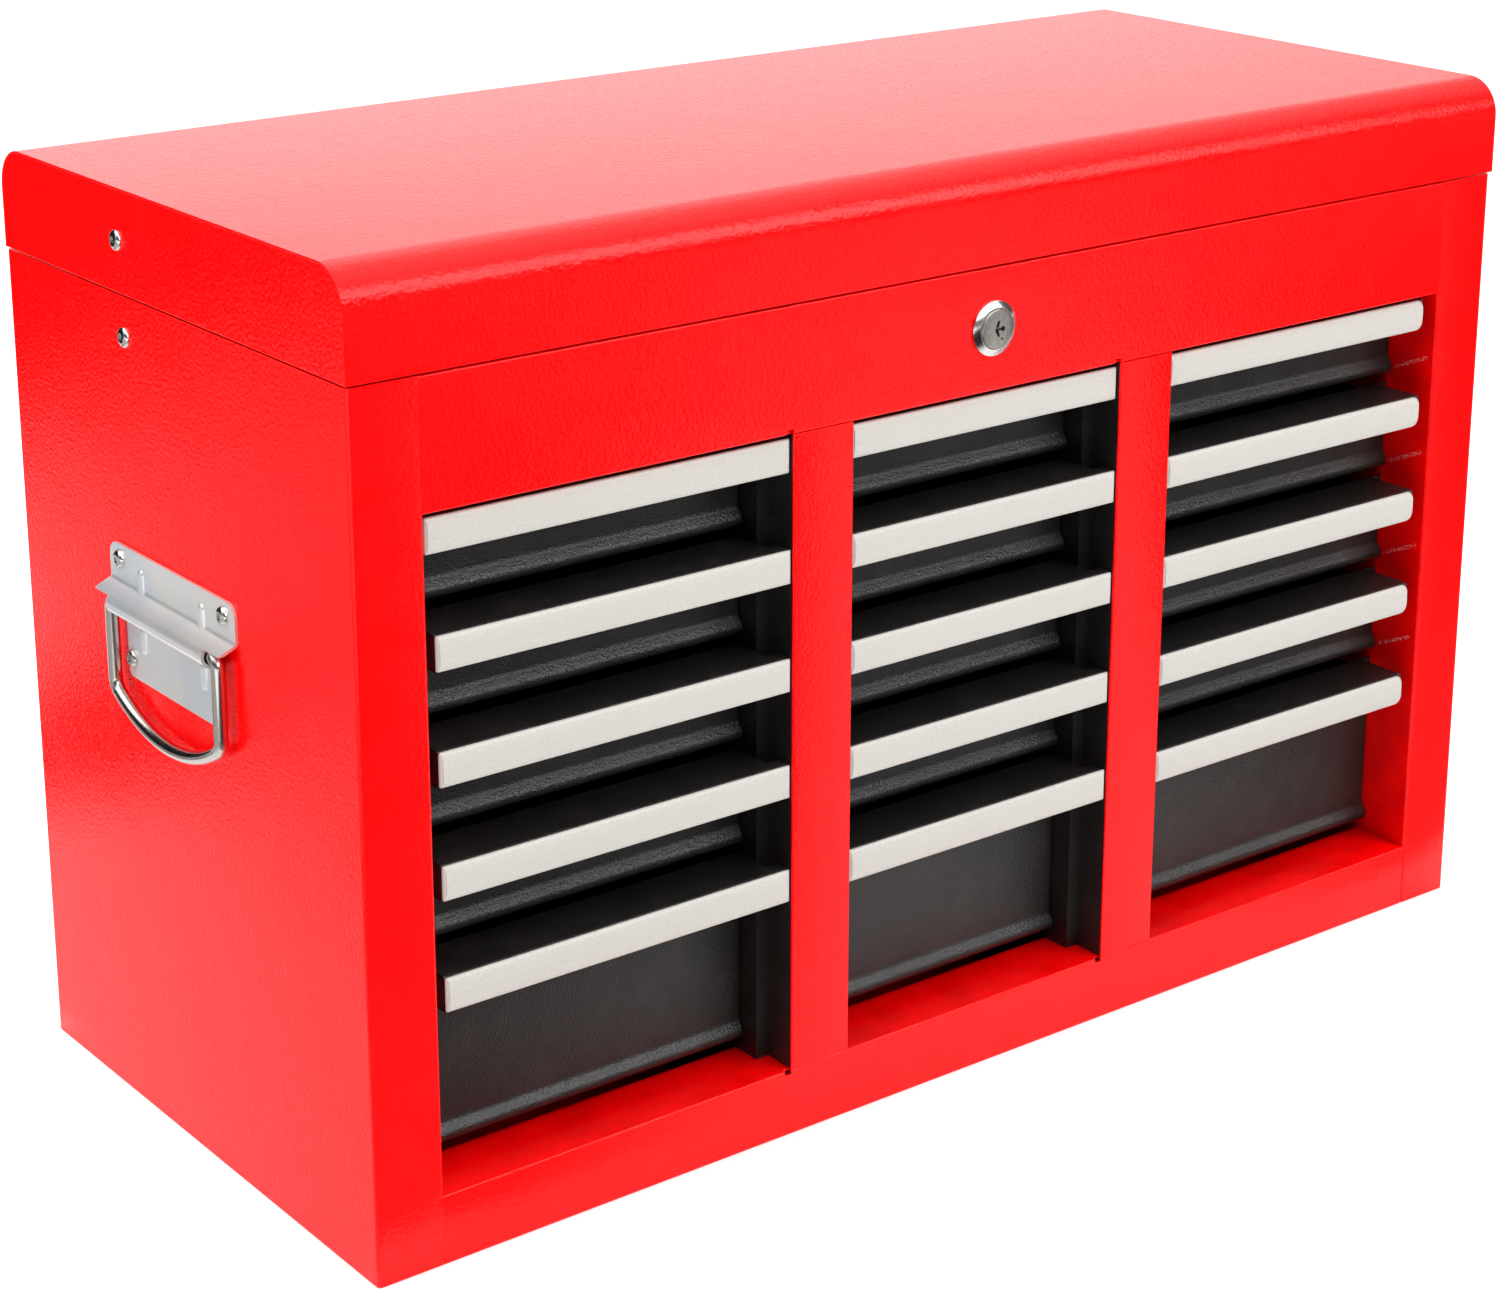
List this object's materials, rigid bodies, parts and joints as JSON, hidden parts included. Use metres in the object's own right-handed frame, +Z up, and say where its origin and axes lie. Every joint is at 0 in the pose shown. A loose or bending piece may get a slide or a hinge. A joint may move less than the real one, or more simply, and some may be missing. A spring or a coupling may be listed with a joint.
{
  "type": "tool chest",
  "caption": "Sheet steel tool chest with rows of shallow drawers, a hinged lid over a till, a front lock and a drop handle on each side.",
  "frame": {"origin": "centre of the case's footprint on its resting face, without the handles and hinge", "axes": "+X to the right along the drawer fronts, +Y from the fronts to the back, +Z up"},
  "size_m": [0.6202, 0.2798, 0.396],
  "materials": {
    "red_paint": "glossy red powder coat with a fine orange peel",
    "black_paint": "satin black powder coat",
    "pale_strip": "smooth warm white strip",
    "zinc_plate": "bright zinc plating",
    "bright_plate": "polished nickel-chrome plating"
  },
  "bodies": {
    "case": {"left_side": "red_paint", "right_side": "red_paint", "back_panel": "red_paint", "base_pan": "red_paint", "top_rail": "red_paint", "bottom_rail": "red_paint", "divider_strips": "red_paint", "partitions": "black_paint", "till_floor": "red_paint", "runner_rails": "zinc_plate", "lock_body": "bright_plate", "lock_nut": "zinc_plate", "handle_plates": "zinc_plate", "handle_rivets": "bright_plate", "hinge_leaf_case": "zinc_plate", "hinge_pin": "zinc_plate", "stay_rivets_case": "bright_plate"},
    "lid": {"lid_sheet": "red_paint", "lid_ends": "red_paint", "hinge_leaf_lid": "zinc_plate", "stay_rivets_lid": "bright_plate"},
    "plug": {"lock_plug": "bright_plate", "lock_cam": "zinc_plate"},
    "bail_l": {"bail_left": "bright_plate"},
    "bail_r": {"bail_right": "bright_plate"},
    "lower_stay_l": {"stay_lower_left": "zinc_plate"},
    "lower_stay_r": {"stay_lower_right": "zinc_plate"},
    "upper_stay_l": {"stay_upper_left": "zinc_plate"},
    "upper_stay_r": {"stay_upper_right": "zinc_plate"},
    "tray_left_1": {"drawer_left_1": "black_paint", "trim_left_1": "pale_strip"},
    "tray_left_2": {"drawer_left_2": "black_paint", "trim_left_2": "pale_strip"},
    "tray_left_3": {"drawer_left_3": "black_paint", "trim_left_3": "pale_strip"},
    "tray_left_4": {"drawer_left_4": "black_paint", "trim_left_4": "pale_strip"},
    "tray_left_5": {"drawer_left_5": "black_paint", "trim_left_5": "pale_strip"},
    "tray_mid_1": {"drawer_mid_1": "black_paint", "trim_mid_1": "pale_strip"},
    "tray_mid_2": {"drawer_mid_2": "black_paint", "trim_mid_2": "pale_strip"},
    "tray_mid_3": {"drawer_mid_3": "black_paint", "trim_mid_3": "pale_strip"},
    "tray_mid_4": {"drawer_mid_4": "black_paint", "trim_mid_4": "pale_strip"},
    "tray_mid_5": {"drawer_mid_5": "black_paint", "trim_mid_5": "pale_strip"},
    "tray_right_1": {"drawer_right_1": "black_paint", "trim_right_1": "pale_strip"},
    "tray_right_2": {"drawer_right_2": "black_paint", "trim_right_2": "pale_strip"},
    "tray_right_3": {"drawer_right_3": "black_paint", "trim_right_3": "pale_strip"},
    "tray_right_4": {"drawer_right_4": "black_paint", "trim_right_4": "pale_strip"},
    "tray_right_5": {"drawer_right_5": "black_paint", "trim_right_5": "pale_strip"}
  },
  "joints": [
    {"name": "lid_hinge", "type": "hinge", "parent": "case", "child": "lid", "pos_m": [0, 0.1386, 0.3535], "axis": [-1, 0, 0], "range_deg": [0, 90]},
    {"name": "lock_turn", "type": "hinge", "parent": "case", "child": "plug", "pos_m": [0, -0.135, 0.3277], "axis": [0, 1, 0], "range_deg": [0, 90]},
    {"name": "bail_swing_left", "type": "hinge", "parent": "case", "child": "bail_l", "pos_m": [-0.3054, 0.0037, 0.2265], "axis": [0, 1, 0], "range_deg": [0, 90]},
    {"name": "bail_swing_right", "type": "hinge", "parent": "case", "child": "bail_r", "pos_m": [0.3054, 0.0037, 0.2265], "axis": [0, -1, 0], "range_deg": [0, 90]},
    {"name": "lower_stay_l_turn", "type": "hinge", "parent": "case", "child": "lower_stay_l", "pos_m": [-0.2978, 0.0334, 0.3365], "axis": [1, 0, 0], "range_deg": [0, 25.32]},
    {"name": "upper_stay_l_turn", "type": "hinge", "parent": "lid", "child": "upper_stay_l", "pos_m": [-0.2978, 0.0346, 0.375], "axis": [-1, 0, 0], "range_deg": [0, 24.39]},
    {"name": "lower_stay_r_turn", "type": "hinge", "parent": "case", "child": "lower_stay_r", "pos_m": [0.2978, 0.0334, 0.3365], "axis": [1, 0, 0], "range_deg": [0, 25.32]},
    {"name": "upper_stay_r_turn", "type": "hinge", "parent": "lid", "child": "upper_stay_r", "pos_m": [0.2978, 0.0346, 0.375], "axis": [-1, 0, 0], "range_deg": [0, 24.39]},
    {"name": "slide_left_1", "type": "slide", "parent": "case", "child": "tray_left_1", "axis": [0, -1, 0], "range_m": [0, 0.18]},
    {"name": "slide_left_2", "type": "slide", "parent": "case", "child": "tray_left_2", "axis": [0, -1, 0], "range_m": [0, 0.18]},
    {"name": "slide_left_3", "type": "slide", "parent": "case", "child": "tray_left_3", "axis": [0, -1, 0], "range_m": [0, 0.18]},
    {"name": "slide_left_4", "type": "slide", "parent": "case", "child": "tray_left_4", "axis": [0, -1, 0], "range_m": [0, 0.18]},
    {"name": "slide_left_5", "type": "slide", "parent": "case", "child": "tray_left_5", "axis": [0, -1, 0], "range_m": [0, 0.18]},
    {"name": "slide_mid_1", "type": "slide", "parent": "case", "child": "tray_mid_1", "axis": [0, -1, 0], "range_m": [0, 0.18]},
    {"name": "slide_mid_2", "type": "slide", "parent": "case", "child": "tray_mid_2", "axis": [0, -1, 0], "range_m": [0, 0.18]},
    {"name": "slide_mid_3", "type": "slide", "parent": "case", "child": "tray_mid_3", "axis": [0, -1, 0], "range_m": [0, 0.18]},
    {"name": "slide_mid_4", "type": "slide", "parent": "case", "child": "tray_mid_4", "axis": [0, -1, 0], "range_m": [0, 0.18]},
    {"name": "slide_mid_5", "type": "slide", "parent": "case", "child": "tray_mid_5", "axis": [0, -1, 0], "range_m": [0, 0.18]},
    {"name": "slide_right_1", "type": "slide", "parent": "case", "child": "tray_right_1", "axis": [0, -1, 0], "range_m": [0, 0.18]},
    {"name": "slide_right_2", "type": "slide", "parent": "case", "child": "tray_right_2", "axis": [0, -1, 0], "range_m": [0, 0.18]},
    {"name": "slide_right_3", "type": "slide", "parent": "case", "child": "tray_right_3", "axis": [0, -1, 0], "range_m": [0, 0.18]},
    {"name": "slide_right_4", "type": "slide", "parent": "case", "child": "tray_right_4", "axis": [0, -1, 0], "range_m": [0, 0.18]},
    {"name": "slide_right_5", "type": "slide", "parent": "case", "child": "tray_right_5", "axis": [0, -1, 0], "range_m": [0, 0.18]}
  ],
  "couplings": [
    {"joint": "lower_stay_l_turn", "follows": "lid_hinge", "ratio": 0.27583},
    {"joint": "upper_stay_l_turn", "follows": "lid_hinge", "ratio": 0.26545},
    {"joint": "lower_stay_r_turn", "follows": "lid_hinge", "ratio": 0.27583},
    {"joint": "upper_stay_r_turn", "follows": "lid_hinge", "ratio": 0.26545}
  ]
}
